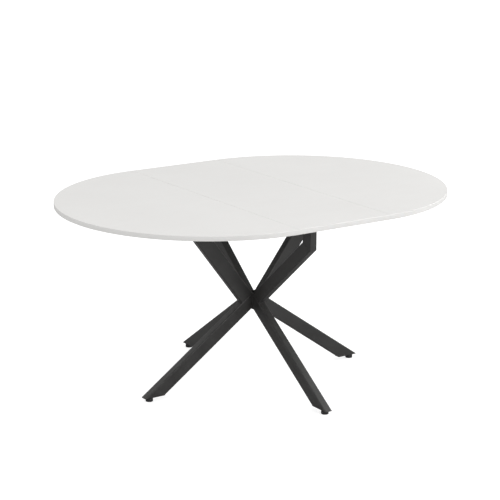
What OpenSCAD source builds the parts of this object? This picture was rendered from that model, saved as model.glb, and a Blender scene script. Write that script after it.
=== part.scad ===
// Extendable round dining table: two half-round panels, a lift-out leaf,
// a pair of guide rails with a rack-and-pinion that keeps the halves in step,
// and a welded base of four legs and four arms around a small hub.
// Origin on the floor under the centre; X is the direction of extension.

/* [Table top] */
// Diameter of the round top when the table is closed
top_d = 1150; // [1100:10:1200]
// Width of the lift-out leaf, along the extension
leaf_w = 400; // [360:10:420]
// Height of the upper surface above the floor
table_h = 745; // [735:5:760]
// Thickness of the panels
top_t = 18; // [16:1:22]
// Radius of the panels' upper edge
edge_r = 2; // [1:0.5:4]
// Gap between the leaf and each half
seam_gap = 0.6; // [0.4:0.1:1]

/* [Base tubes] */
// Thickness of every base tube, seen from above
tube_w = 30; // [28:1:34]
// Depth of the legs and of the front and back arms
tube_d = 50; // [46:1:54]
// Depth of the left and right arms
side_arm_d = 58; // [54:1:60]
// Wall of the base tubes
tube_wall = 2; // [1.5:0.5:3]
// Corner radius of the base tubes
tube_r = 4; // [3:0.5:5]

/* [Legs and feet] */
// Height at which the legs' centre lines would meet
leg_meet = 331.5; // [322:0.5:340]
// Slope of the legs below horizontal, degrees
leg_slope = 35; // [34:0.1:36]
// Height of the legs' level lower ends
leg_cut = 16; // [15:0.5:18]
// Distance of each foot from the centre
foot_r = 468.5; // [464:0.5:472]
// Diameter of the levelling pads
pad_d = 28; // [22:1:30]
// Thickness of the levelling pads
pad_t = 12; // [9:0.5:12.5]

/* [Arms] */
// Height at which the front and back arms' centre lines would meet
end_arm_meet = 303.4; // [300:0.1:306]
// Slope of the front and back arms, degrees
end_arm_slope = 40.5; // [40:0.1:41]
// Distance of the front and back posts from the centre
end_post_r = 359; // [355:1:360]
// Height at which the left and right arms' centre lines would meet
side_arm_meet = 284.8; // [282:0.1:288]
// Slope of the left and right arms, degrees
side_arm_slope = 52.6; // [52:0.1:53]
// Distance of the left and right posts from the centre
side_post_r = 275; // [272:1:278]

/* [Slides and gear] */
// Half length of the guide rails
rail_half = 320; // [300:5:330]
// Distance of each guide rail from the centre line
rail_y = 250; // [245:1:255]
// Number of pinion teeth
gear_teeth = 20; // [20]
// Module of the gear and the racks
gear_module = 2; // [2]

/* [Hidden] */

$fn = 64;
fn_large = 256;
big = 1000;

// Levels, from the panels' underside down to the posts
under = table_h - top_t;
leaf_pad_t = 2;
rail_h = 36;
rail_top = under - leaf_pad_t;
rail_base = rail_top - rail_h;
bar_h = 20;
bar_base = rail_base - bar_h;
post_plate_t = 4;
post_top = bar_base - post_plate_t;

// Panels
top_r = top_d / 2;
seam_x = leaf_w / 2;
leaf_half = seam_x - seam_gap;

// Base
hub_w = tube_w;
hub_z = [282, 340];
hub_taper_z = 289;
hub_tip_w = 12;
hub_bolt_x = 7;
hub_bolt_r = 2.5;
hub_bolt_length = 12;
hub_head_r = 4.5;
hub_head_t = 3;
tube_stock = 700;
foot_plate_t = 1.5;
pad_round = 1;
stem_r = 4;
stem_clear = 0.05;
foot_nut_t = 5;
bolt_r = 4;
bolt_hole_r = 4.2;
bolt_head_r = 6.5;
bolt_head_t = 5;
nut_flats = 13;
nut_t = 6.5;

// Cross bars
bar_w = 40;
bar_wall = 2;
bar_r = 3;
cap_t = 3;
center_bar_half = end_post_r + tube_d / 2 - cap_t;
side_bar_half = 290;
cap_plug = 5;
cap_clear = 0.2;
cap_plug_r = 1;
post_bolt_gap = 11;

// Rails (I section) and the runners that slide in their grooves
rail_w = 24;
rail_web = 4;
rail_flange = 4;
run_clear = 0.5;
run_wall = 4;
run_flange = 3;
run_reach = 36;
run_x = [80, 490];
run_screws = [225, 310, 395, 475];
rail_bolt_r = 3;
rail_bolt_y = 8;

// Wood screws
screw_r = 2;
screw_hole_r = 2.1;
screw_head_r = 4;
screw_head_t = 2;
screw_bite = 11;

// Gear and racks
pitch_r = gear_module * gear_teeth / 2;
tooth_pitch = PI * gear_module;
pressure = 20;
play = 0.15;
addendum = gear_module;
dedendum = 1.25 * gear_module;
gear_z = rail_base + 6;
gear_t = 12;
boss_r = 9;
boss_z = [rail_base + 1, rail_base + 20];
rack_back = pitch_r + 12;
rack_x = [-35, 300];
riser_x = 230;
rack_screw_x = [245, 285];
rack_screw_y = (rack_back + pitch_r + dedendum) / 2;
rack_teeth = [-5, 36];
bracket_z = rail_base + 21;
bracket_t = 4;
bracket_y = 60;
bracket_foot = 15;
bracket_w = 30;

// Hook latches under the halves, and the studs that they hold under the leaf
latch_x = seam_x + 22;
latch_reach = 38;
latch_t = 3;
latch_plate_t = 3;
latch_z = under - 7;
lever_w = 14;
lever_end_r = 9;
handle_x = 22;
handle_w = 12;
knob_r = 4;
knob_drop = 8;
hook_play = 0.7;
hook_slot = 9.5;
pin_r = 3;
pin_clear = 0.05;
pin_drop = 8;
pivot_head_r = 5;
pivot_head_t = 2.5;
pivot_gap = 0.5;
stud_flange_r = 8;
stud_flange_t = 2;
stud_bite = 10;
latch_plate = [40, 28];
latch_plate_r = 3;
LATCH_BACK = 420;
LATCH_FRONT = -320;

function polar(r, a) = [r * cos(a), r * sin(a)];
function involute(a) = tan(a) * 180 / PI - a;

// Quarter-turn placing: 0 right, 1 back, 2 left, 3 front
module side(quarter) rotate([0, 0, 90 * quarter]) children();

module rounded(w, d, r) {
    square([w - 2 * r, d], center = true);
    square([w, d - 2 * r], center = true);
    for (x = [-1, 1], y = [-1, 1])
        translate([x * (w / 2 - r), y * (d / 2 - r)]) circle(r);
}

module tube_section(w, d, r, wall) {
    difference() {
        rounded(w, d, r);
        rounded(w - 2 * wall, d - 2 * wall, max(r - wall, 0.5));
    }
}

module hex_nut(t, hole) {
    difference() {
        cylinder(h = t, r = nut_flats / sqrt(3), $fn = 6);
        translate([0, 0, -1]) cylinder(h = t + 2, r = hole);
    }
}

// A screw with its head below z = 0 and its shank going up
module screw(head_r, head_t, r, length) {
    translate([0, 0, -head_t]) cylinder(h = head_t, r = head_r);
    cylinder(h = length, r = r);
}

// ---- Panels ----
module panel_edge_profile(reach) {
    square([reach - edge_r, top_t]);
    square([reach, top_t - edge_r]);
    translate([reach - edge_r, top_t - edge_r]) circle(edge_r);
}

module half_panel() {
    difference() {
        translate([seam_x, 0, under]) rotate_extrude($fn = fn_large) panel_edge_profile(top_r);
        translate([seam_x - big, -big / 2 - 200, 0]) cube([big, big + 400, big]);
    }
}

module top_right() color("whitesmoke") half_panel();
module top_left() color("whitesmoke") side(2) half_panel();

module leaf() color("whitesmoke")
    translate([-leaf_half, 0, under]) rotate([90, 0, 90]) linear_extrude(2 * leaf_half)
        for (m = [0, 1]) mirror([m, 0]) panel_edge_profile(top_r);

// ---- Rails and runners ----
module rail_section() {
    translate([-rail_w / 2, 0]) square([rail_w, rail_flange]);
    translate([-rail_w / 2, rail_h - rail_flange]) square([rail_w, rail_flange]);
    translate([-rail_web / 2, 0]) square([rail_web, rail_h]);
}

module rail(y) translate([-rail_half, y, rail_base])
    rotate([90, 0, 90]) linear_extrude(2 * rail_half) rail_section();

module rail_front() color("silver") rail(-rail_y);
module rail_back() color("silver") rail(rail_y);

// The tongue, the side plate and the flange under the panel, seen along X
module runner_section() {
    groove = rail_h - 2 * rail_flange;
    translate([rail_web / 2 + run_clear, rail_base + rail_flange + run_clear])
        square([rail_w / 2 - rail_web / 2 + run_wall, groove - 2 * run_clear]);
    translate([rail_w / 2 + run_clear, rail_base + rail_flange + run_clear])
        square([run_wall, under - rail_base - rail_flange - run_clear]);
    translate([rail_w / 2 + run_clear, under - run_flange])
        square([run_reach - rail_w / 2, run_flange]);
}

run_screw_y = (rail_w / 2 + run_wall + run_reach) / 2;

// A runner in the groove on one side of the rail at y: way = 1 is the +y side, -1 the other
module runner(rail_at, way) translate([0, rail_at, 0]) mirror([0, way < 0 ? 1 : 0, 0])
    difference() {
        translate([run_x[0], 0, 0]) rotate([90, 0, 90])
            linear_extrude(run_x[1] - run_x[0]) runner_section();
        for (x = run_screws)
            translate([x, run_screw_y, under - 10]) cylinder(h = 20, r = screw_hole_r);
    }

// The right half uses the rails' inner grooves and the left half the outer ones
module runner_right_front() color("silver") runner(-rail_y, 1);
module runner_right_back() color("silver") runner(rail_y, -1);
module runner_left_back() color("silver") side(2) runner(-rail_y, -1);
module runner_left_front() color("silver") side(2) runner(rail_y, 1);

module runner_screws(way) for (m = [0, 1], x = run_screws) mirror([0, m, 0])
    translate([x, rail_y + way * run_screw_y, under - run_flange])
        screw(screw_head_r, screw_head_t, screw_r, run_flange + screw_bite);

module runner_screws_right() color("gainsboro") runner_screws(-1);
module runner_screws_left() color("gainsboro") side(2) runner_screws(1);

module rail_bolts() color("dimgray")
    for (x = [-side_post_r, 0, side_post_r], y = [-rail_y, rail_y], s = [-1, 1])
        translate([x, y + s * rail_bolt_y, bar_base])
            screw(bolt_head_r, bolt_head_t, rail_bolt_r, bar_h + rail_flange - 0.5);

module leaf_pads() color("dimgray")
    for (x = [-150, 150], y = [-rail_y, rail_y])
        translate([x, y, rail_top]) cylinder(h = leaf_pad_t, d = 20);

// ---- Cross bars ----
module bar_tube(half) translate([0, half, bar_base + bar_h / 2])
    rotate([90, 0, 0]) linear_extrude(2 * half) tube_section(bar_w, bar_h, bar_r, bar_wall);

module bar_hole(x, y, r) translate([x, y, bar_base - 1]) cylinder(h = bar_h + 2, r = r);

module cross_bar(half, bolts) difference() {
    bar_tube(half);
    for (at = bolts) bar_hole(at[0], at[1], bolt_hole_r);
    for (y = [-rail_y, rail_y], s = [-1, 1])
        bar_hole(0, y + s * rail_bolt_y, rail_bolt_r + 0.2);
    children();
}

end_bolts = [for (m = [-1, 1], s = [-1, 1]) [0, m * end_post_r + s * post_bolt_gap]];
side_bolts = [for (s = [-1, 1]) [s * post_bolt_gap, 0]];

module cross_bar_center() color("#2b2b2b") cross_bar(center_bar_half, end_bolts) {
    bar_hole(0, 0, bolt_hole_r);
    for (y = [-1, 1]) bar_hole(0, y * (bracket_y + bracket_foot / 2), screw_hole_r);
}
module cross_bar_right() color("#2b2b2b")
    translate([side_post_r, 0, 0]) cross_bar(side_bar_half, side_bolts);
module cross_bar_left() color("#2b2b2b")
    translate([-side_post_r, 0, 0]) cross_bar(side_bar_half, side_bolts);

module end_cap(half) translate([0, half, bar_base + bar_h / 2]) rotate([-90, 0, 0]) {
    linear_extrude(cap_t) rounded(bar_w, bar_h, bar_r);
    translate([0, 0, -cap_plug]) linear_extrude(cap_plug)
        rounded(bar_w - 2 * (bar_wall + cap_clear), bar_h - 2 * (bar_wall + cap_clear), cap_plug_r);
}

module bar_end_caps() color("black") for (m = [0, 1]) mirror([0, m, 0]) {
    end_cap(center_bar_half);
    for (x = [-side_post_r, side_post_r]) translate([x, 0, 0]) end_cap(side_bar_half);
}

// ---- Base: legs, arms, posts ----
module base_tube(length, depth) rotate([0, 90, 0])
    linear_extrude(length) tube_section(depth, tube_w, tube_r, tube_wall);

// Everything below the upper face of the leg on this side
module below_leg_top() translate([0, 0, leg_meet]) rotate([0, leg_slope, 0])
    translate([-200, -50, -big]) cube([big, 100, big + tube_d / 2]);

// Everything above the mitre between an arm and its post
module above_mitre(meet, slope, post_r)
    translate([post_r, 0, meet + post_r * tan(slope)]) rotate([0, -(135 + slope / 2), 0])
        translate([-200, -50, -400]) cube([400, 100, 400]);

module arm(meet, slope, post_r, depth) difference() {
    intersection() {
        translate([0, 0, meet]) rotate([0, -slope, 0]) base_tube(tube_stock, depth);
        translate([hub_w / 2, -50, 0]) cube([big, 100, big]);
    }
    below_leg_top();
    above_mitre(meet, slope, post_r);
}

module post(meet, slope, post_r, depth) intersection() {
    translate([post_r, 0, 500]) linear_extrude(post_top - 500)
        tube_section(depth, tube_w, tube_r, tube_wall);
    above_mitre(meet, slope, post_r);
}

module side_arm() arm(side_arm_meet, side_arm_slope, side_post_r, side_arm_d);
module end_arm() arm(end_arm_meet, end_arm_slope, end_post_r, tube_d);
module side_post() post(side_arm_meet, side_arm_slope, side_post_r, side_arm_d);
module end_post() post(end_arm_meet, end_arm_slope, end_post_r, tube_d);

module arm_right() color("#2b2b2b") side(0) side_arm();
module arm_back() color("#2b2b2b") side(1) end_arm();
module arm_left() color("#2b2b2b") side(2) side_arm();
module arm_front() color("#2b2b2b") side(3) end_arm();
module post_right() color("#2b2b2b") side(0) side_post();
module post_back() color("#2b2b2b") side(1) end_post();
module post_left() color("#2b2b2b") side(2) side_post();
module post_front() color("#2b2b2b") side(3) end_post();

module leg() intersection() {
    translate([0, 0, leg_meet]) rotate([0, leg_slope, 0]) base_tube(tube_stock, tube_d);
    translate([hub_w / 2, -50, leg_cut]) cube([big, 100, big]);
}

module leg_right() color("#2b2b2b") side(0) leg();
module leg_back() color("#2b2b2b") side(1) leg();
module leg_left() color("#2b2b2b") side(2) leg();
module leg_front() color("#2b2b2b") side(3) leg();

// A place for each post's two bolts, at the level of the post's top
module at_post_bolts() for (quarter = [0:3]) side(quarter)
    for (s = [-1, 1])
        translate([(quarter % 2 == 0 ? side_post_r : end_post_r) + s * post_bolt_gap, 0, post_top])
            children();

module post_plates() color("#2b2b2b") difference() {
    for (quarter = [0:3]) side(quarter)
        translate([quarter % 2 == 0 ? side_post_r : end_post_r, 0, post_top])
            linear_extrude(post_plate_t)
                rounded(quarter % 2 == 0 ? side_arm_d : tube_d, tube_w, tube_r);
    at_post_bolts() translate([0, 0, -1]) cylinder(h = post_plate_t + 2, r = bolt_hole_r);
}

module post_bolts() color("dimgray") at_post_bolts() {
    head_z = post_plate_t + bar_h;
    translate([0, 0, head_z]) cylinder(h = bolt_head_t, r = bolt_head_r);
    translate([0, 0, -nut_t]) cylinder(h = head_z + nut_t, r = bolt_r);
}

module post_nuts() color("silver") at_post_bolts()
    translate([0, 0, -nut_t]) hex_nut(nut_t, bolt_r + stem_clear);

// ---- Hub ----
// A square block whose lower end tapers in below the legs
module hub_side() rotate([90, 0, 0]) linear_extrude(hub_w + 2, center = true) {
    translate([-hub_w / 2, hub_taper_z]) square([hub_w, hub_z[1] - hub_taper_z]);
    polygon([[-hub_w / 2, hub_taper_z], [-hub_tip_w / 2, hub_z[0]],
             [hub_tip_w / 2, hub_z[0]], [hub_w / 2, hub_taper_z]]);
}

module hub() color("#2b2b2b") intersection() {
    hub_side();
    rotate([0, 0, 90]) hub_side();
}

module hub_bolts() color("silver") for (x = [-hub_bolt_x, hub_bolt_x])
    translate([x, 0, hub_z[1]]) mirror([0, 0, 1])
        screw(hub_head_r, hub_head_t, hub_bolt_r, hub_bolt_length);

// ---- Feet ----
// Where the level cut crosses the lower and the upper face of a leg
function leg_cut_r(s) = (leg_meet - leg_cut + s * tube_d / 2 / cos(leg_slope)) / tan(leg_slope);

module foot_plates() color("#2b2b2b") for (quarter = [0:3]) side(quarter) difference() {
    translate([(leg_cut_r(-1) + leg_cut_r(1)) / 2, 0, leg_cut - foot_plate_t])
        linear_extrude(foot_plate_t) rounded(leg_cut_r(1) - leg_cut_r(-1), tube_w, tube_r);
    translate([foot_r, 0, 0]) cylinder(h = 50, r = stem_r + stem_clear);
}

module foot_nuts() color("silver") for (quarter = [0:3]) side(quarter)
    translate([foot_r, 0, leg_cut]) hex_nut(foot_nut_t, stem_r + stem_clear);

module leveller() translate([foot_r, 0, 0]) {
    rotate_extrude() {
        square([pad_d / 2, pad_t - pad_round]);
        square([pad_d / 2 - pad_round, pad_t]);
        translate([pad_d / 2 - pad_round, pad_t - pad_round]) circle(pad_round);
    }
    cylinder(h = leg_cut + foot_nut_t + 1, r = stem_r);
}

module leveller_right() color("black") side(0) leveller();
module leveller_back() color("black") side(1) leveller();
module leveller_left() color("black") side(2) leveller();
module leveller_front() color("black") side(3) leveller();

// ---- Gear and racks ----
base_r = pitch_r * cos(pressure);
root_r = pitch_r - dedendum;
tip_r = pitch_r + addendum;
FLANK = [0, 0.25, 0.5, 0.75, 1];

// Half the angle of a tooth at radius r, narrowed by the play
function half_tooth(r) = 90 / gear_teeth - play / pitch_r * 180 / PI + involute(pressure)
    - involute(acos(min(1, base_r / r)));

module pinion_teeth() {
    radii = concat([root_r], [for (f = FLANK) base_r + f * (tip_r - base_r)]);
    flank = [for (r = radii) [r, half_tooth(max(r, base_r))]];
    last = len(flank) - 1;
    polygon([for (tooth = [0:gear_teeth - 1], i = [0:2 * last + 1])
        let (p = flank[i <= last ? i : 2 * last + 1 - i], s = i <= last ? -1 : 1)
        polar(p[0], tooth * 360 / gear_teeth + s * p[1])]);
}

module pinion() color("ivory") difference() {
    union() {
        translate([0, 0, gear_z]) linear_extrude(gear_t) pinion_teeth();
        translate([0, 0, boss_z[0]]) cylinder(h = boss_z[1] - boss_z[0], r = boss_r);
    }
    translate([0, 0, rail_base]) cylinder(h = 40, r = bolt_r + stem_clear);
}

module pinion_axle() color("silver") {
    tip_z = bar_base - nut_t - 2;
    translate([0, 0, tip_z]) cylinder(h = bracket_z + bracket_t - tip_z, r = bolt_r);
    translate([0, 0, bracket_z + bracket_t]) cylinder(h = bolt_head_t, r = bolt_head_r);
}

module axle_nut() color("silver")
    translate([0, 0, bar_base - nut_t]) hex_nut(nut_t, bolt_r + stem_clear);

module gear_bracket() color("silver") difference() {
    translate([-bracket_w / 2, 0, 0]) rotate([90, 0, 90]) linear_extrude(bracket_w)
        for (m = [0, 1]) mirror([m, 0]) {
            translate([0, bracket_z]) square([bracket_y, bracket_t]);
            translate([bracket_y - bracket_t, rail_base]) {
                square([bracket_t, bracket_z - rail_base]);
                square([bracket_t + bracket_foot, bracket_t]);
            }
        }
    translate([0, 0, bracket_z - 1]) cylinder(h = bracket_t + 2, r = bolt_hole_r);
    for (y = [-1, 1]) translate([0, y * (bracket_y + bracket_foot / 2), rail_base - 1])
        cylinder(h = bracket_t + 2, r = screw_hole_r);
}

module bracket_screws() color("gainsboro") for (y = [-1, 1])
    translate([0, y * (bracket_y + bracket_foot / 2), rail_base + bracket_t])
        mirror([0, 0, 1]) screw(screw_head_r, screw_head_t, screw_r, bracket_t + 8);

root_y = pitch_r + dedendum;
tip_y = pitch_r - addendum;

// The rack's outline from above: back, ends, and a straight-flanked tooth at each half pitch
module rack_outline() {
    root_half = tooth_pitch / 4 - play + dedendum * tan(pressure);
    tip_half = tooth_pitch / 4 - play - addendum * tan(pressure);
    teeth = [for (k = [rack_teeth[0]:rack_teeth[1]]) let (x = (k + 0.5) * tooth_pitch)
        each [[x - root_half, -root_y], [x - tip_half, -tip_y], [x + tip_half, -tip_y],
              [x + root_half, -root_y]]];
    polygon(concat([[rack_x[0], -rack_back], [rack_x[0], -root_y]], teeth,
        [[rack_x[1], -root_y], [rack_x[1], -rack_back]]));
}

module rack() difference() {
    union() {
        translate([0, 0, gear_z]) linear_extrude(gear_t) rack_outline();
        translate([riser_x, -rack_back, gear_z + gear_t])
            cube([rack_x[1] - riser_x, rack_back - root_y, under - gear_z - gear_t]);
    }
    for (x = rack_screw_x) translate([x, -rack_screw_y, gear_z - 1])
        cylinder(h = under - gear_z + 2, r = screw_hole_r);
}

module rack_screws() for (x = rack_screw_x) translate([x, -rack_screw_y, gear_z])
    screw(screw_head_r, screw_head_t, screw_r, under - gear_z + screw_bite);

module rack_right() color("ivory") rack();
module rack_left() color("ivory") side(2) rack();
module rack_screws_right() color("gainsboro") rack_screws();
module rack_screws_left() color("gainsboro") side(2) rack_screws();

// ---- Latches ----
module lever() translate([0, 0, latch_z]) {
    linear_extrude(latch_t) difference() {
        union() {
            circle(lever_end_r);
            translate([-latch_reach - lever_end_r, -lever_w / 2])
                square([latch_reach + lever_end_r, lever_w]);
            translate([0, -handle_w / 2]) square([handle_x, handle_w]);
            translate([handle_x, 0]) circle(handle_w / 2);
        }
        circle(pin_r + pin_clear);
        translate([-latch_reach - pin_r - hook_play, -lever_w])
            square([hook_slot, lever_w + pin_r + hook_play]);
    }
    translate([handle_x, 0, -knob_drop]) cylinder(h = knob_drop, r = knob_r);
}

module at_latches() {
    translate([latch_x, LATCH_BACK, 0]) children();
    translate([latch_x, LATCH_FRONT, 0]) mirror([0, 1, 0]) children();
}

module latch_right_back() color("silver") translate([latch_x, LATCH_BACK, 0]) lever();
module latch_right_front() color("silver")
    translate([latch_x, LATCH_FRONT, 0]) mirror([0, 1, 0]) lever();
module latch_left_front() color("silver") side(2) translate([latch_x, LATCH_BACK, 0]) lever();
module latch_left_back() color("silver") side(2)
    translate([latch_x, LATCH_FRONT, 0]) mirror([0, 1, 0]) lever();

plate_screw_xy = [for (x = [-13, 13], y = [-9, 9]) [x, y]];
plate_screw_r = 1.75;
plate_head_r = 3.4;
plate_head_t = 1.5;
plate_screw_bite = 10;

module latch_plates() at_latches() translate([0, 0, under - latch_plate_t]) difference() {
    linear_extrude(latch_plate_t) rounded(latch_plate[0], latch_plate[1], latch_plate_r);
    translate([0, 0, -1]) cylinder(h = latch_plate_t + 2, r = pin_r + pin_clear);
    for (p = plate_screw_xy) translate([p[0], p[1], 0]) {
        translate([0, 0, -1]) cylinder(h = latch_plate_t + 2, r = plate_screw_r + 0.1);
        translate([0, 0, -1]) cylinder(h = plate_head_t + 1, r = plate_head_r + 0.1);
    }
}

module latch_pivots() at_latches() translate([0, 0, latch_z - pivot_gap])
    screw(pivot_head_r, pivot_head_t, pin_r, under - latch_z + pivot_gap);

module latch_screws() at_latches() for (p = plate_screw_xy)
    translate([p[0], p[1], under - latch_plate_t]) {
        cylinder(h = plate_head_t, r = plate_head_r);
        cylinder(h = latch_plate_t + plate_screw_bite, r = plate_screw_r);
    }

module latch_plates_right() color("silver") latch_plates();
module latch_plates_left() color("silver") side(2) latch_plates();
module latch_pivots_right() color("silver") latch_pivots();
module latch_pivots_left() color("silver") side(2) latch_pivots();
module latch_screws_right() color("gainsboro") latch_screws();
module latch_screws_left() color("gainsboro") side(2) latch_screws();

module leaf_studs() color("silver") for (turn = [0, 2]) side(turn) at_latches()
    translate([-latch_reach, 0, under]) {
        translate([0, 0, -pin_drop]) cylinder(h = pin_drop, r = pin_r);
        translate([0, 0, -stud_flange_t]) cylinder(h = stud_flange_t, r = stud_flange_r);
        cylinder(h = stud_bite, r = screw_r);
    }

top_right();
top_left();
leaf();
runner_right_front();
runner_right_back();
runner_left_front();
runner_left_back();
runner_screws_right();
runner_screws_left();
rail_front();
rail_back();
rail_bolts();
leaf_pads();
cross_bar_center();
cross_bar_right();
cross_bar_left();
bar_end_caps();
post_right();
post_back();
post_left();
post_front();
post_plates();
post_bolts();
post_nuts();
arm_right();
arm_back();
arm_left();
arm_front();
leg_right();
leg_back();
leg_left();
leg_front();
hub();
hub_bolts();
foot_plates();
foot_nuts();
leveller_right();
leveller_back();
leveller_left();
leveller_front();
pinion();
pinion_axle();
axle_nut();
gear_bracket();
bracket_screws();
rack_right();
rack_left();
rack_screws_right();
rack_screws_left();
latch_right_back();
latch_right_front();
latch_left_front();
latch_left_back();
latch_plates_right();
latch_plates_left();
latch_pivots_right();
latch_pivots_left();
latch_screws_right();
latch_screws_left();
leaf_studs();
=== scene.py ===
import math

import bpy
import numpy as np
from mathutils import Matrix, Vector


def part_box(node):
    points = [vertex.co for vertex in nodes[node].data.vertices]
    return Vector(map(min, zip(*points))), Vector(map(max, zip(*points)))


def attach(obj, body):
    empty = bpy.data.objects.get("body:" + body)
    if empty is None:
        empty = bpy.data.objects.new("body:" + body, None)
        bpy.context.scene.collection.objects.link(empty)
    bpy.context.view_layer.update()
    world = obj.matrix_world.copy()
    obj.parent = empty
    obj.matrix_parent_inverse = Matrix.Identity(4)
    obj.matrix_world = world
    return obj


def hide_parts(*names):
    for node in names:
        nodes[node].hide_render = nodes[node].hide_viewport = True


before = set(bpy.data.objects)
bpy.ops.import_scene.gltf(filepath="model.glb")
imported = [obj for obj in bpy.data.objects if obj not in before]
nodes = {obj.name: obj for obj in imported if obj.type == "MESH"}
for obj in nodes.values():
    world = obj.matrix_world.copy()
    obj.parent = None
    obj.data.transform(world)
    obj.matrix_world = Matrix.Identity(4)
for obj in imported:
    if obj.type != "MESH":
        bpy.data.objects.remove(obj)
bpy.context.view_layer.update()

# ---- Base tubes ----
# Four legs, four arms and four short posts of 30 mm wide steel tube with soft corners, cut at
# the ends, butted against a small hub block, welded, ground at the mitres and powder coated.

TUBE_WIDTH = 0.030
TUBE_DEPTH = 0.050
SIDE_ARM_DEPTH = 0.058
TUBE_CORNER = 0.004
LEG_MEET = 0.3315
LEG_SLOPE = math.radians(35.0)
# Each kind of arm: where its centre line would meet the middle, its slope, its post's distance from
# the middle, and its depth
END_ARM = (0.3034, math.radians(40.5), 0.359, TUBE_DEPTH)
SIDE_ARM = (0.2848, math.radians(52.6), 0.275, SIDE_ARM_DEPTH)
ARM_WELD = 0.0020
LEG_WELD = 0.0012
MITRE_WELD = 0.0005
SIDES = ["right", "back", "left", "front"]


def new_mesh(name, points, faces, sharp=35):
    """A mesh object from an (n, 3) array of points and a list of faces, smooth below `sharp` degrees."""
    mesh = bpy.data.meshes.new(name)
    mesh.from_pydata(points.tolist(), [], faces)
    mesh.polygons.foreach_set("use_smooth", np.ones(len(mesh.polygons), bool))
    mesh.set_sharp_from_angle(angle=math.radians(sharp))
    mesh.update()
    made = bpy.data.objects.new(name, mesh)
    bpy.context.scene.collection.objects.link(made)
    return made


def grid_faces(rings, around, first=0):
    """Quads joining consecutive closed rings of `around` points each."""
    ring, step = np.meshgrid(np.arange(rings - 1), np.arange(around), indexing="ij")
    a = first + ring * around + step
    b = first + ring * around + (step + 1) % around
    return np.stack([a, b, b + around, a + around], -1).reshape(-1, 4).tolist()


def mirrored_cap(start, around, flip):
    """Closes a ring that is symmetric about its first point: strips join point i and point -i."""
    low = np.arange(1, around // 2 - 1)
    strips = np.stack([start + low, start + low + 1,
                       start + around - low - 1, start + around - low], -1).tolist()
    half = around // 2
    ends = [[start, start + 1, start + around - 1], [start + half - 1, start + half, start + half + 1]]
    faces = [ends[0]] + strips + [ends[1]]
    return [f[::-1] for f in faces] if flip else faces


def soft_rectangle(depth, width, corner, steps=7, flat=15):
    """Ring of (u, v) points of a rectangle with quarter-circle corners, symmetric about v = 0.

    A narrow band beside each corner keeps the flats' shading flat."""
    band = 0.0005
    turn = np.linspace(0, np.pi / 2, steps)
    low = np.stack([-depth / 2 + corner - corner * np.cos(turn),
                    width / 2 - corner + corner * np.sin(turn)], -1)
    side = np.linspace(-depth / 2 + corner + band, depth / 2 - corner - band, flat)
    side = np.stack([side, np.full(flat, width / 2)], -1)
    high = low[::-1] * [-1, 1]
    near = width / 2 - corner - band
    half = np.concatenate([[[-depth / 2, 0], [-depth / 2, near]], low, side, high,
                           [[depth / 2, near], [depth / 2, 0]]])
    return np.concatenate([half, half[-2:0:-1] * [1, -1]])


def quarter_turn(points, quarter):
    """Points of the right-hand side turned about the vertical to side number `quarter`."""
    c, s = [(1, 0), (0, 1), (-1, 0), (0, -1)][quarter]
    x, y = points[..., 0], points[..., 1]
    return np.stack([c * x - s * y, s * x + c * y, points[..., 2]], -1)


def cut_lines(ring, origin, slope, planes):
    """Where each line of a tube meets a set of planes, as the farthest of the hits along the axis.

    The tube runs from `origin` in the XZ plane at `slope`; a plane is (point x, z, normal x, z)."""
    along = np.array([math.cos(slope), math.sin(slope)])
    across = np.array([-math.sin(slope), math.cos(slope)])
    start = np.array(origin) + ring[:, :1] * across
    hits = [((np.array(p[:2]) - start) @ np.array(p[2:])) / (along @ np.array(p[2:])) for p in planes]
    reach = np.max(hits, 0)[:, None]
    flat = start + reach * along
    return np.stack([flat[:, 0], ring[:, 1], flat[:, 1]], -1)


def cut_tube(name, depth, origin, slope, near_planes, far_plane, quarter):
    """A soft-cornered tube between a set of near planes and one far plane, with both ends closed."""
    ring = soft_rectangle(depth, TUBE_WIDTH, TUBE_CORNER)
    near = cut_lines(ring, origin, slope, near_planes)
    far = cut_lines(ring, origin, slope, [far_plane])
    stations = 9
    share = np.linspace(0, 1, stations)[:, None, None]
    points = quarter_turn(near + (far - near) * share, quarter)
    around = len(ring)
    last = (stations - 1) * around
    faces = grid_faces(stations, around) + mirrored_cap(0, around, True) + mirrored_cap(last, around, False)
    return new_mesh(name, points.reshape(-1, 3), faces), points


hub_low, hub_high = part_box("hub")
HUB_PLANE = (hub_high.x, 0, 1, 0)
FLOOR_CUT = (0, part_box("leg_right")[0].z, 0, 1)
POST_TOP = (0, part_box("post_plates")[0].z, 0, 1)
LEG_NORMAL = (math.sin(LEG_SLOPE), math.cos(LEG_SLOPE))
LEG_TOP = (LEG_NORMAL[0] * TUBE_DEPTH / 2, LEG_MEET + LEG_NORMAL[1] * TUBE_DEPTH / 2) + LEG_NORMAL


def mitre_plane(meet, slope, post_r):
    """The plane that halves the angle between an arm and its upright post."""
    turn = math.radians(135) + slope / 2
    return (post_r, meet + post_r * math.tan(slope), -math.sin(turn), math.cos(turn))


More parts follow.
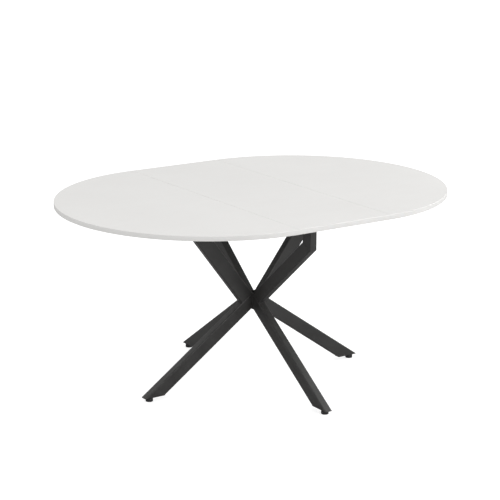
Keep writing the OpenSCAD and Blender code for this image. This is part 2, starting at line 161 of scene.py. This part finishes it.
base_tubes = []
welds = []
for quarter, side in enumerate(SIDES):
    meet, slope, post_r, depth = SIDE_ARM if quarter % 2 == 0 else END_ARM
    mitre = mitre_plane(meet, slope, post_r)
    leg, leg_rings = cut_tube("steel_leg_" + side, TUBE_DEPTH, (0, LEG_MEET), -LEG_SLOPE,
                              [HUB_PLANE], FLOOR_CUT, quarter)
    arm, arm_rings = cut_tube("steel_arm_" + side, depth, (0, meet), slope,
                              [HUB_PLANE, LEG_TOP], mitre, quarter)
    post, post_rings = cut_tube("steel_post_" + side, depth, (post_r, 0.5), math.pi / 2,
                                [mitre], POST_TOP, quarter)
    for piece, node in ((leg, "leg_"), (arm, "arm_"), (post, "post_")):
        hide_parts(node + side)
        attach(piece, "base")
        base_tubes.append(piece)
    welds += [(arm_rings[0], ARM_WELD), (leg_rings[0], LEG_WELD), (post_rings[0], MITRE_WELD)]


def weld_bead(name, seams):
    """Thin beads along closed rings: a circle carried round each ring, its radius rippled
    by a sine of the distance travelled."""
    around = 8
    turns = np.linspace(0, 2 * np.pi, around, endpoint=False)
    ripple_pitch = 0.0028
    step = 0.0009
    points, faces, first = [], [], 0
    for ring, radius in seams:
        closed = np.concatenate([ring, ring[:1]])
        travelled = np.r_[0, np.cumsum(np.linalg.norm(np.diff(closed, axis=0), axis=1))]
        count = max(24, int(travelled[-1] / step))
        where = np.linspace(0, travelled[-1], count, endpoint=False)
        path = np.stack([np.interp(where, travelled, closed[:, k]) for k in range(3)], -1)
        ahead = np.roll(path, -1, 0) - np.roll(path, 1, 0)
        ahead /= np.linalg.norm(ahead, axis=1)[:, None]
        outward = path - path.mean(0)
        outward -= (outward * ahead).sum(1)[:, None] * ahead
        outward /= np.linalg.norm(outward, axis=1)[:, None]
        aside = np.cross(ahead, outward)
        size = radius * (0.9 + 0.1 * np.sin(where / ripple_pitch * 2 * np.pi))[:, None, None]
        circle = (np.cos(turns)[None, :, None] * outward[:, None]
                  + np.sin(turns)[None, :, None] * aside[:, None])
        points.append((path[:, None] + size * circle).reshape(-1, 3))
        wrapped = np.array(grid_faces(count + 1, around)) % (count * around)
        faces += (first + wrapped)[:, ::-1].tolist()
        first += count * around
    return new_mesh(name, np.concatenate(points), faces, 180)


beads = weld_bead("weld_beads", welds)
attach(beads, "base")
base_tubes.append(beads)


# The powder coat is matt charcoal black with a fine pebbled skin, and with a trace of settled dust
# on what faces up.

def material(name):
    """A new node material: its node tree, its Principled shader and a short maker of links."""
    made = bpy.data.materials.new(name)
    made.use_nodes = True
    tree = made.node_tree
    return made, tree, tree.nodes["Principled BSDF"], tree.links.new


def group_node(tree, group, **values):
    """A shader group placed in a material, with its own values on the named inputs."""
    node = tree.nodes.new("ShaderNodeGroup")
    node.node_tree = group
    for key, value in values.items():
        node.inputs[key.replace("_", " ")].default_value = value
    return node


def new_group(name, inputs, outputs):
    """An empty shader group. Inputs are (name, type, value); outputs are (name, type)."""
    group = bpy.data.node_groups.new(name, "ShaderNodeTree")
    for label, kind, value in inputs:
        socket = group.interface.new_socket(label, in_out="INPUT", socket_type="NodeSocket" + kind)
        if value is not None:
            socket.default_value = value
    for label, kind in outputs:
        group.interface.new_socket(label, in_out="OUTPUT", socket_type="NodeSocket" + kind)
    return group, group.nodes.new("NodeGroupInput"), group.nodes.new("NodeGroupOutput")


def add_noise(tree, links, vector, scale, detail=3, roughness=0.5):
    """A Noise texture on a vector socket; gives its value socket."""
    node = tree.nodes.new("ShaderNodeTexNoise")
    node.inputs["Detail"].default_value = detail
    node.inputs["Roughness"].default_value = roughness
    if hasattr(scale, "is_linked"):
        links(scale, node.inputs["Scale"])
    else:
        node.inputs["Scale"].default_value = scale
    links(vector, node.inputs["Vector"])
    return node.outputs["Fac"]


def add_ramp(tree, links, value, low, high, out_low=0.0, out_high=1.0):
    """A smooth Map Range from low..high to out_low..out_high; gives its result socket."""
    node = tree.nodes.new("ShaderNodeMapRange")
    node.interpolation_type = "SMOOTHSTEP"
    for key, number in (("From Min", low), ("From Max", high), ("To Min", out_low), ("To Max", out_high)):
        node.inputs[key].default_value = number
    links(value, node.inputs["Value"])
    return node.outputs["Result"]


def add_math(tree, links, operation, *values):
    """A Math node on sockets or plain numbers; gives its output socket."""
    node = tree.nodes.new("ShaderNodeMath")
    node.operation = operation
    for value, socket in zip(values, node.inputs):
        if isinstance(value, float):
            socket.default_value = value
        else:
            links(value, socket)
    return node.outputs["Value"]


def make_skin_group():
    """Grain of a coated or moulded surface: pebbles for the bump, slow patches for tone and gloss."""
    group, inside, outside = new_group("surface_skin", [
        ("Pebble Scale", "Float", 900.0), ("Patch Scale", "Float", 9.0)],
        [("Pebbles", "Float"), ("Patches", "Float"), ("Specks", "Float")])
    links = group.links.new
    place = group.nodes.new("ShaderNodeTexCoord")
    pebbles = add_noise(group, links, place.outputs["Object"], inside.outputs["Pebble Scale"], 2, 0.6)
    patches = add_noise(group, links, place.outputs["Object"], inside.outputs["Patch Scale"], 4, 0.55)
    links(pebbles, outside.inputs["Pebbles"])
    links(add_ramp(group, links, patches, 0.3, 0.7), outside.inputs["Patches"])
    links(add_ramp(group, links, pebbles, 0.60, 0.72), outside.inputs["Specks"])
    return group


def make_dust_group():
    """Fine dust: a mask that grows with how far a face looks up, broken up by small noise."""
    group, inside, outside = new_group("settled_dust", [("Amount", "Float", 0.2)], [("Mask", "Float")])
    links = group.links.new
    place = group.nodes.new("ShaderNodeTexCoord")
    split = group.nodes.new("ShaderNodeSeparateXYZ")
    shape = group.nodes.new("ShaderNodeNewGeometry")
    links(shape.outputs["Normal"], split.inputs["Vector"])
    up = add_ramp(group, links, split.outputs["Z"], 0.2, 0.95)
    noise = add_noise(group, links, place.outputs["Object"], 140, 6, 0.7)
    grains = add_ramp(group, links, noise, 0.42, 0.66, 0.25, 1.0)
    both = add_math(group, links, "MULTIPLY", up, grains)
    links(add_math(group, links, "MULTIPLY", both, inside.outputs["Amount"]), outside.inputs["Mask"])
    return group


SKIN = make_skin_group()
DUST = make_dust_group()


def mix_colour(tree, links, factor, first, second):
    """A colour mix; first and second are sockets or plain (r, g, b) values."""
    node = tree.nodes.new("ShaderNodeMix")
    node.data_type = "RGBA"
    for key, value in (("A", first), ("B", second)):
        socket = [s for s in node.inputs if s.name == key and s.type == "RGBA"][0]
        if isinstance(value, tuple):
            socket.default_value = value + (1,)
        else:
            links(value, socket)
    links(factor, node.inputs[0])
    return [s for s in node.outputs if s.type == "RGBA"][0]


def add_bump(tree, links, shader, height, strength, distance):
    """A Bump node into the shader's normal; distance in metres."""
    node = tree.nodes.new("ShaderNodeBump")
    node.inputs["Strength"].default_value = strength
    node.inputs["Distance"].default_value = distance
    links(height, node.inputs["Height"])
    links(node.outputs["Normal"], shader.inputs["Normal"])


def coated(name, colour, light_colour, dust_colour, gloss, pebble_scale, pebble_depth, dust):
    """A coated or moulded surface: pebbled skin, slow tone patches, specks and settled dust."""
    made, tree, shader, links = material(name)
    skin = group_node(tree, SKIN, Pebble_Scale=pebble_scale, Patch_Scale=9.0)
    toned = mix_colour(tree, links, skin.outputs["Patches"], colour, light_colour)
    speck_part = add_math(tree, links, "MULTIPLY", skin.outputs["Specks"], 0.35)
    specked = mix_colour(tree, links, speck_part, toned, light_colour)
    settled = group_node(tree, DUST, Amount=dust)
    dusted = mix_colour(tree, links, settled.outputs["Mask"], specked, dust_colour)
    links(dusted, shader.inputs["Base Color"])
    rough = add_ramp(tree, links, skin.outputs["Patches"], 0.0, 1.0, gloss[0], gloss[1])
    links(rough, shader.inputs["Roughness"])
    add_bump(tree, links, shader, skin.outputs["Pebbles"], 0.5, pebble_depth)
    return made


powder_coat = coated("powder_coat_black", (0.023, 0.022, 0.021), (0.031, 0.030, 0.029),
                     (0.16, 0.155, 0.15), (0.40, 0.52), 1100, 0.00022, 0.07)


def paint(piece, finish):
    """Gives a piece, or a node of the frame, one finish all over."""
    piece.data.materials.clear()
    piece.data.materials.append(finish)


for piece in base_tubes:
    paint(piece, powder_coat)
for name in ("cross_bar_center", "cross_bar_right", "cross_bar_left", "post_plates"):
    paint(nodes[name], powder_coat)


# ---- Hub ----
# A solid square block where all eight tubes meet. Its arrises are broken by a small round, and two
# bright button-head screws close the tapped holes on its top.

def block_of_rings(name, low, high, insets, heights, corner):
    """An upright block: soft rectangles of the block's plan, each drawn in by its own inset, are
    stacked at the given heights and the two end rings are closed."""
    size, middle = np.array(high) - np.array(low), (np.array(high) + np.array(low)) / 2
    rings = []
    for drawn_in, z in zip(insets, heights):
        ring = soft_rectangle(size[0] - 2 * drawn_in, size[1] - 2 * drawn_in, corner, 5, 3)
        rings.append(np.stack([middle[0] + ring[:, 0], middle[1] + ring[:, 1], np.full(len(ring), z)], -1))
    around, count = len(rings[0]), len(rings)
    faces = [f[::-1] for f in grid_faces(count, around)]
    faces += mirrored_cap(0, around, False) + mirrored_cap((count - 1) * around, around, True)
    return new_mesh(name, np.concatenate(rings), faces)


HUB_ARRIS = 0.0012
HUB_TAPER_Z = 0.289
HUB_TIP = 0.012
quarter_round = np.linspace(0, np.pi / 2, 6)
hub_insets = np.r_[(hub_high.x - hub_low.x - HUB_TIP) / 2, 0.0003, 0, 0,
                   HUB_ARRIS * (1 - np.cos(quarter_round[1:]))]
hub_heights = np.r_[hub_low.z, HUB_TAPER_Z - 0.0001, HUB_TAPER_Z + 0.0004, hub_high.z - HUB_ARRIS,
                    hub_high.z - HUB_ARRIS * (1 - np.sin(quarter_round[1:]))]
hub = block_of_rings("hub_block", hub_low, hub_high, hub_insets, hub_heights, 0.001)
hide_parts("hub")
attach(hub, "base")
paint(hub, powder_coat)


# ---- Fasteners ----
# Zinc-plated wood screws with cross recesses, and machine screws with hexagon sockets. Each one
# goes where its solid stands in the frame, head down under the panels or head up on the bars.

def solids_of(name):
    """Lowest and highest corners of each separate solid in a node: corners that share a place or
    a triangle take the smallest label among them until nothing changes."""
    mesh = nodes[name].data
    points = np.empty(len(mesh.vertices) * 3, np.float32)
    mesh.vertices.foreach_get("co", points)
    points = points.reshape(-1, 3)
    places, same = np.unique(np.round(points, 6), axis=0, return_inverse=True)
    corners = np.empty(len(mesh.loops), np.int32)
    mesh.loops.foreach_get("vertex_index", corners)
    triangles = same.reshape(-1)[corners].reshape(-1, 3)
    label = np.arange(len(places))
    while True:
        lowest = label[triangles].min(1)
        before = label.copy()
        for corner in range(3):
            np.minimum.at(label, triangles[:, corner], lowest)
        if (before == label).all():
            break
    return [(places[label == k].min(0), places[label == k].max(0)) for k in np.unique(label)]


def cross_recess(x, y, radius):
    """1 inside a cross-shaped recess that narrows towards its ends, 0 outside it."""
    far, near = np.maximum(abs(x), abs(y)), np.minimum(abs(x), abs(y))
    return ((near < 0.16 * radius) & (far < 0.62 * radius)).astype(float)


def hexagon_socket(x, y, radius):
    """1 inside a hexagon about half as wide as the head, 0 outside it."""
    turns = np.radians([0, 60, 120])
    across = np.max([abs(x * np.cos(t) + y * np.sin(t)) for t in turns], 0)
    return (across < 0.5 * radius).astype(float)


def plain_head(x, y, radius):
    """0 everywhere, for a riveted head without a recess."""
    return 0 * x


def fastener_points(centre, head_z, tip_z, head_r, head_t, shank_r, recess, depth):
    """One screw: a profile of (radius, distance from the head's seat) turned about the axis. The
    head is a dome, and its middle is sunk where `recess` says 1. head_z is the head's outer face."""
    around = 40
    outward = 1 if head_z > tip_z else -1
    seat = head_z - outward * head_t
    reach = abs(tip_z - seat)
    turns = np.linspace(0, 2 * np.pi, around, endpoint=False)
    dome = np.linspace(1, 0.02, 18)
    rim = 0.45 * head_t
    radius = np.r_[1e-5, shank_r * 0.7, shank_r, shank_r, head_r * 0.96, head_r, head_r, head_r * dome[1:]]
    rise = np.r_[-reach, -reach, -reach + 0.001, 0, 0, 0.04 * head_t, rim,
                 rim + (head_t - rim) * np.sqrt(1 - dome[1:] ** 2)]
    x, y = radius[:, None] * np.cos(turns), radius[:, None] * np.sin(turns)
    sunk = np.where(rise[:, None] > rim, recess(x, y, head_r), 0) * depth
    z = seat + outward * (rise[:, None] - sunk)
    return np.stack([centre[0] + x, centre[1] + y, z + 0 * x], -1), outward


def fasteners(name, node, body, head_t, shank_r, recess, depth, head_down=True):
    """One piece holding every screw of a node, each placed by its solid in the frame."""
    points, faces, first = [], [], 0
    for low, high in solids_of(node):
        centre, head_r = (low + high) / 2, (high[0] - low[0]) / 2
        head_z, tip_z = (low[2], high[2]) if head_down else (high[2], low[2])
        one, outward = fastener_points(centre, head_z, tip_z, head_r, head_t, shank_r, recess, depth)
        rings, around = one.shape[:2]
        body_faces = grid_faces(rings, around, first)
        caps = [list(range(first, first + around))[::-1],
                list(range(first + (rings - 1) * around, first + rings * around))]
        made = body_faces + caps
        faces += made if outward > 0 else [f[::-1] for f in made]
        points.append(one.reshape(-1, 3))
        first += rings * around
    piece = new_mesh(name, np.concatenate(points), faces, 40)
    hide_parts(node)
    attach(piece, body)
    return piece


# The numbers of each are its head's thickness, its shank's radius and its recess's depth.
screw_pieces = []
for half in ("right", "left"):
    body = half + "_top"
    screw_pieces += [
        fasteners("runner_wood_screws_" + half, "runner_screws_" + half, body,
                  0.002, 0.002, cross_recess, 0.0012),
        fasteners("rack_wood_screws_" + half, "rack_screws_" + half, body,
                  0.002, 0.002, cross_recess, 0.0012),
        fasteners("latch_wood_screws_" + half, "latch_screws_" + half, body,
                  0.0015, 0.00175, cross_recess, 0.001),
        fasteners("latch_rivets_" + half, "latch_pivots_" + half, body,
                  0.0025, 0.003, plain_head, 0)]
screw_pieces += [
    fasteners("rail_machine_screws", "rail_bolts", "base",
              0.005, 0.003, hexagon_socket, 0.003),
    fasteners("post_machine_screws", "post_bolts", "base",
              0.005, 0.004, hexagon_socket, 0.003, False),
    fasteners("bracket_cross_screws", "bracket_screws", "base",
              0.002, 0.002, cross_recess, 0.0012, False),
    fasteners("hub_button_screws", "hub_bolts", "base",
              0.003, 0.0025, hexagon_socket, 0.0018, False),
    fasteners("axle_shoulder_screw", "pinion_axle", "base",
              0.005, 0.004, hexagon_socket, 0.003, False)]


# Plated steel shows a cool grey with faint spangle and fine scuffs; pressed parts are duller.

def metal(name, colour, light_colour, gloss, stretch, bump):
    """Bare or plated metal: noise drawn out along one direction for rolling or brushing lines."""
    made, tree, shader, links = material(name)
    place = tree.nodes.new("ShaderNodeTexCoord")
    drawn = tree.nodes.new("ShaderNodeMapping")
    drawn.inputs["Scale"].default_value = stretch
    links(place.outputs["Object"], drawn.inputs["Vector"])
    lines = add_noise(tree, links, drawn.outputs["Vector"], 1.0, 5, 0.6)
    skin = group_node(tree, SKIN, Pebble_Scale=600.0, Patch_Scale=25.0)
    toned = mix_colour(tree, links, lines, colour, light_colour)
    settled = group_node(tree, DUST, Amount=0.06)
    dusted = mix_colour(tree, links, settled.outputs["Mask"], toned, (0.42, 0.4, 0.37))
    links(dusted, shader.inputs["Base Color"])
    low, high = gloss[0] / 2, gloss[1] / 2
    line_part = add_ramp(tree, links, lines, 0.3, 0.7, low, high)
    patch_part = add_ramp(tree, links, skin.outputs["Patches"], 0.0, 1.0, low, high)
    rough = add_math(tree, links, "ADD", line_part, patch_part)
    links(rough, shader.inputs["Roughness"])
    shader.inputs["Metallic"].default_value = 1.0
    add_bump(tree, links, shader, lines, 0.25, bump)
    return made


plated_steel = metal("zinc_plated_screws", (0.50, 0.51, 0.53), (0.66, 0.66, 0.67),
                     (0.26, 0.42), (300, 300, 300), 0.00004)
pressed_steel = metal("zinc_plated_pressings", (0.46, 0.47, 0.48), (0.60, 0.60, 0.60),
                      (0.34, 0.5), (90, 220, 220), 0.00004)
for piece in screw_pieces:
    paint(piece, plated_steel)
for name in ("post_nuts", "foot_nuts", "axle_nut", "leaf_studs"):
    paint(nodes[name], plated_steel)
for name in ("gear_bracket", "latch_plates_right", "latch_plates_left", "latch_right_back",
             "latch_right_front", "latch_left_front", "latch_left_back"):
    paint(nodes[name], pressed_steel)


# ---- Feet ----
# Each leg's level cut is closed by a thin welded plate. A moulded black pad on a threaded stem
# screws out of it to level the table.

def thread_pad(name, node):
    """A levelling foot turned about its own axis: a dished pad with a rounded, ribbed rim, and a stem
    whose radius rises and falls with height and angle as a single-start thread."""
    low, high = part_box(node)
    centre, pad_r = (low + high) / 2, (high.x - low.x) / 2
    pad_t, stem_r, pitch = 0.012, 0.004, 0.00125
    around = 96
    turns = np.linspace(0, 2 * np.pi, around, endpoint=False)[None, :]
    corner = np.linspace(0, np.pi / 2, 6)
    rim = 0.0012
    radius = np.r_[1e-5, pad_r * 0.5, pad_r - 3 * rim, pad_r - rim + rim * np.sin(corner),
                   pad_r - rim + rim * np.cos(corner), pad_r * 0.62, pad_r * 0.5, stem_r + 0.0012]
    height = np.r_[0.0006, 0.0006, 0, rim * (1 - np.cos(corner)), pad_t - 2 * rim + rim * np.sin(corner),
                   pad_t - 0.0006, pad_t - 0.0002, pad_t]
    ribs = 0.00025 * (np.cos(turns * 32) - 1)
    on_rim = ((radius > pad_r - 0.0004) & (height > rim * 0.5) & (height < pad_t - rim))[:, None]
    pad_radius = radius[:, None] + np.where(on_rim, ribs, 0)
    rises = np.arange(pad_t, high.z - 0.0004, pitch / 6)
    thread = stem_r - 0.0003 + 0.0003 * np.cos(2 * np.pi * rises[:, None] / pitch - turns)
    all_radius = np.concatenate([pad_radius, thread, np.full((1, around), 1e-5)])
    all_height = np.r_[height, rises, high.z]
    points = np.stack([centre.x + all_radius * np.cos(turns), centre.y + all_radius * np.sin(turns),
                       np.repeat(all_height[:, None], around, 1)], -1)
    rings = len(all_height)
    faces = grid_faces(rings, around) + [list(range(around))[::-1],
                                         list(range((rings - 1) * around, rings * around))]
    return new_mesh(name, points.reshape(-1, 3), faces, 50)


black_plastic = coated("moulded_black_nylon", (0.016, 0.016, 0.017), (0.024, 0.024, 0.025),
                       (0.16, 0.155, 0.15), (0.42, 0.58), 700, 0.0002, 0.12)
for side in SIDES:
    pad = thread_pad("levelling_foot_" + side, "leveller_" + side)
    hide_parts("leveller_" + side)
    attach(pad, "foot_" + side)
    paint(pad, black_plastic)
paint(nodes["bar_end_caps"], black_plastic)

plate_blocks = solids_of("foot_plates")
for quarter, side in enumerate(SIDES):
    way = quarter_turn(np.array([1.0, 0, 0]), quarter)
    low, high = max(plate_blocks, key=lambda block: (block[0] + block[1]) @ way)
    arris = 0.0004
    plate = block_of_rings("foot_plate_" + side, low, high, (arris, 0, 0, arris),
                           (low[2], low[2] + arris, high[2] - arris, high[2]), TUBE_CORNER)
    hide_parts("foot_plates")
    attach(plate, "base")
    paint(plate, powder_coat)


# ---- Rails and runners ----
# Extruded aluminium: I-section rails bolted across the bars, and the runners' tongues in their
# grooves. The die leaves fine lines along the length.

aluminium = metal("extruded_aluminium", (0.58, 0.585, 0.59), (0.70, 0.70, 0.705),
                  (0.28, 0.44), (3, 700, 700), 0.00003)
for name in ("rail_front", "rail_back", "runner_right_front", "runner_right_back",
             "runner_left_front", "runner_left_back"):
    paint(nodes[name], aluminium)


# ---- Gear and racks ----
# Natural nylon mouldings that keep the halves in step: a pinion turns on an axle above the centre bar,
# and a rack screwed under each half runs past it on its own side.

nylon = coated("natural_nylon", (0.66, 0.63, 0.54), (0.72, 0.69, 0.60),
               (0.5, 0.48, 0.44), (0.34, 0.46), 450, 0.00012, 0.06)
for name in ("pinion", "rack_right", "rack_left"):
    paint(nodes[name], nylon)


# ---- Felt pads ----
# Four grey discs punched from needled felt and glued on top of the rails. The leaf rests on them,
# and so do the halves when the table is closed.

felt = coated("needled_felt", (0.16, 0.16, 0.165), (0.30, 0.30, 0.305),
              (0.4, 0.39, 0.37), (0.9, 0.98), 1500, 0.0012, 0.1)
paint(nodes["leaf_pads"], felt)


# ---- Panels ----
# Two half-round panels and the leaf, 18 mm board lacquered satin white all over. Every upper edge
# is rounded, at the seams too, so that the seams show as fine lines.

EDGE_ROUND = 0.002
UNDER_ROUND = 0.001


def edge_profile(thickness, top_round, under_round):
    """Insets and heights from the underside round the edge to the top: two quarter circles joined
    by the upright edge, with a narrow band beside each so that the flats stay flat."""
    turn = np.linspace(0, np.pi / 2, 8)
    band = 0.0006
    inset = np.r_[under_round + band, under_round * (1 - np.sin(turn)),
                  top_round * (1 - np.cos(turn)), top_round + band]
    height = np.r_[0, under_round * (1 - np.cos(turn)),
                   thickness - top_round + top_round * np.sin(turn), thickness]
    return inset, height


def panel_from_rings(name, rings):
    """A closed panel from rings of points, each symmetric about its first point."""
    around, count = len(rings[0]), len(rings)
    faces = grid_faces(count, around) + mirrored_cap(0, around, True)
    faces += mirrored_cap((count - 1) * around, around, False)
    return new_mesh(name, np.concatenate(rings), faces, 40)


def half_round_panel(name, node, way):
    """The half disc: at each inset the rim is a circle and the seam edge a straight line, both drawn
    in by it; the arc runs between the two crossings."""
    low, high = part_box(node)
    radius, thickness = high.x - low.x, high.z - low.z
    seam = low.x if way > 0 else -high.x
    insets, heights = edge_profile(thickness, EDGE_ROUND, UNDER_ROUND)
    rings = []
    for inset, z in zip(insets, heights):
        r = radius - inset
        end = math.acos(inset / r)
        turn = np.linspace(0, end, 161)
        arc = np.stack([seam + r * np.cos(turn), r * np.sin(turn)], -1)
        line = np.linspace(r * math.sin(end), 0, 41)[1:]
        straight = np.stack([np.full_like(line, seam + inset), line], -1)
        half = np.concatenate([arc, straight])
        full = np.concatenate([half, half[-2:0:-1] * [1, -1]])
        rings.append(np.stack([way * full[:, 0], way * full[:, 1], np.full(len(full), low.z + z)], -1))
    return panel_from_rings(name, rings)


def leaf_panel(name, node, half_length):
    """The leaf: at each inset a rectangle drawn in by it on all four sides."""
    low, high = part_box(node)
    insets, heights = edge_profile(high.z - low.z, EDGE_ROUND, UNDER_ROUND)
    rings = []
    for inset, z in zip(insets, heights):
        x, y = high.x - inset, half_length - inset
        across, along = np.linspace(x, -x, 21), np.linspace(0, y, 31)
        half = np.concatenate([np.stack([np.full_like(along[:-1], x), along[:-1]], -1),
                               np.stack([across, np.full_like(across, y)], -1),
                               np.stack([np.full_like(along[:-1], -x), along[-2::-1]], -1)])
        full = np.concatenate([half, half[-2:0:-1] * [1, -1]])
        rings.append(np.stack([full[:, 0], full[:, 1], np.full(len(full), low.z + z)], -1))
    return panel_from_rings(name, rings)


right_panel = half_round_panel("panel_right", "top_right", 1)
left_panel = half_round_panel("panel_left", "top_left", -1)
top_low, top_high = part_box("top_right")
leaf_board = leaf_panel("panel_leaf", "leaf", top_high.x - top_low.x)


def satin_lacquer():
    """White satin lacquer: a very faint orange peel, tone that drifts by about one part in a
    hundred, and a gloss broken by soft wiping marks."""
    made, tree, shader, links = material("satin_white_lacquer")
    place = tree.nodes.new("ShaderNodeTexCoord")
    drawn = tree.nodes.new("ShaderNodeMapping")
    drawn.inputs["Scale"].default_value = (2.2, 7.0, 7.0)
    drawn.inputs["Rotation"].default_value = (0, 0, math.radians(24))
    links(place.outputs["Object"], drawn.inputs["Vector"])
    wiped = add_noise(tree, links, drawn.outputs["Vector"], 1.6, 5, 0.6)
    drift = add_noise(tree, links, place.outputs["Object"], 2.3, 3, 0.5)
    peel = add_noise(tree, links, place.outputs["Object"], 260, 2, 0.4)
    drift_part = add_ramp(tree, links, drift, 0.3, 0.7)
    toned = mix_colour(tree, links, drift_part, (0.735, 0.728, 0.713), (0.755, 0.748, 0.733))
    settled = group_node(tree, DUST, Amount=0.025)
    dusted = mix_colour(tree, links, settled.outputs["Mask"], toned, (0.62, 0.61, 0.59))
    links(dusted, shader.inputs["Base Color"])
    rough = add_ramp(tree, links, wiped, 0.32, 0.68, 0.42, 0.50)
    links(rough, shader.inputs["Roughness"])
    add_bump(tree, links, shader, peel, 0.12, 0.0002)
    shader.inputs["Specular IOR Level"].default_value = 0.35
    return made


white_lacquer = satin_lacquer()
for piece, node, body in ((right_panel, "top_right", "right_top"), (left_panel, "top_left", "left_top"),
                          (leaf_board, "leaf", "centre_leaf")):
    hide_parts(node)
    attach(piece, body)
    paint(piece, white_lacquer)


# ---- Floor, light and camera ----
# A plain grey floor that shows as white, in a white surround that is brighter overhead than at the
# sides, with a broad soft light at the right, one at the front, a weaker one at the left, and a long
# lens.

floor_mesh = bpy.data.meshes.new("floor")
floor_mesh.from_pydata([(-60, -60, 0), (60, -60, 0), (60, 60, 0), (-60, 60, 0)], [], [(0, 1, 2, 3)])
floor = bpy.data.objects.new("floor", floor_mesh)
bpy.context.scene.collection.objects.link(floor)
floor_paint, floor_tree, floor_shader, floor_links = material("pale_floor")
floor_shader.inputs["Base Color"].default_value = (0.5, 0.5, 0.5, 1)
floor_shader.inputs["Roughness"].default_value = 0.9
floor_shader.inputs["Specular IOR Level"].default_value = 0.1
floor_shader.inputs["Emission Color"].default_value = (1, 1, 1, 1)
floor_seen = floor_tree.nodes.new("ShaderNodeLightPath").outputs["Is Camera Ray"]
floor_glow = add_math(floor_tree, floor_links, "MULTIPLY", floor_seen, 0.74)
floor_links(floor_glow, floor_shader.inputs["Emission Strength"])
paint(floor, floor_paint)


def white_surround(side_light, top_light):
    """A white sky: side_light at the horizon rising to top_light overhead, plain white to look at."""
    world = bpy.data.worlds.new("white_surround")
    bpy.context.scene.world = world
    world.use_nodes = True
    tree, links = world.node_tree, world.node_tree.links.new
    sky = tree.nodes["Background"]
    split = tree.nodes.new("ShaderNodeSeparateXYZ")
    links(tree.nodes.new("ShaderNodeTexCoord").outputs["Generated"], split.inputs["Vector"])
    rise = add_ramp(tree, links, split.outputs["Z"], 0.0, 0.9, side_light, top_light)
    links(rise, sky.inputs["Strength"])
    plain = tree.nodes.new("ShaderNodeBackground")
    mixed = tree.nodes.new("ShaderNodeMixShader")
    links(tree.nodes.new("ShaderNodeLightPath").outputs["Is Camera Ray"], mixed.inputs["Fac"])
    for shader, socket in ((sky, 1), (plain, 2)):
        shader.inputs["Color"].default_value = (1, 1, 1, 1)
        links(shader.outputs["Background"], mixed.inputs[socket])
    links(mixed.outputs["Shader"], tree.nodes["World Output"].inputs["Surface"])


white_surround(0.54, 0.93)


def soft_light(name, place, target, size, power):
    """A square area light at a place, facing a target."""
    data = bpy.data.lights.new(name, "AREA")
    data.shape = "SQUARE"
    data.size = size
    data.energy = power
    lamp = bpy.data.objects.new(name, data)
    bpy.context.scene.collection.objects.link(lamp)
    lamp.location = place
    lamp.rotation_euler = (Vector(target) - Vector(place)).to_track_quat("-Z", "Y").to_euler()


soft_light("key_right", (4.2, -1.2, 3.2), (0, 0, 0.5), 3.0, 82)
soft_light("fill_front", (1.4, -4.8, 1.7), (0, 0, 0.4), 2.4, 80)
soft_light("fill_left", (-4.2, -0.3, 2.4), (0, 0, 0.4), 2.4, 34)

bpy.context.scene.view_settings.view_transform = "Standard"

TURN = math.radians(-34.18)
LOOK_DOWN = math.radians(14.861)
ROLL = math.radians(0.292)
back = np.array([math.cos(LOOK_DOWN) * math.sin(TURN), -math.cos(LOOK_DOWN) * math.cos(TURN),
                 math.sin(LOOK_DOWN)])
right = np.array([math.cos(TURN), math.sin(TURN), 0])
up = np.cross(back, right)
level_right = math.cos(ROLL) * right + math.sin(ROLL) * up
level_up = math.cos(ROLL) * up - math.sin(ROLL) * right

camera_data = bpy.data.cameras.new("camera")
camera_data.sensor_width = 36
camera_data.lens = 118.9
camera = bpy.data.objects.new("camera", camera_data)
bpy.context.scene.collection.objects.link(camera)
placed = np.eye(4)
placed[:3, 0], placed[:3, 1], placed[:3, 2] = level_right, level_up, back
placed[:3, 3] = (-3.4302, -5.0264, 2.1306)
camera.matrix_world = Matrix(placed.tolist())
bpy.context.scene.camera = camera
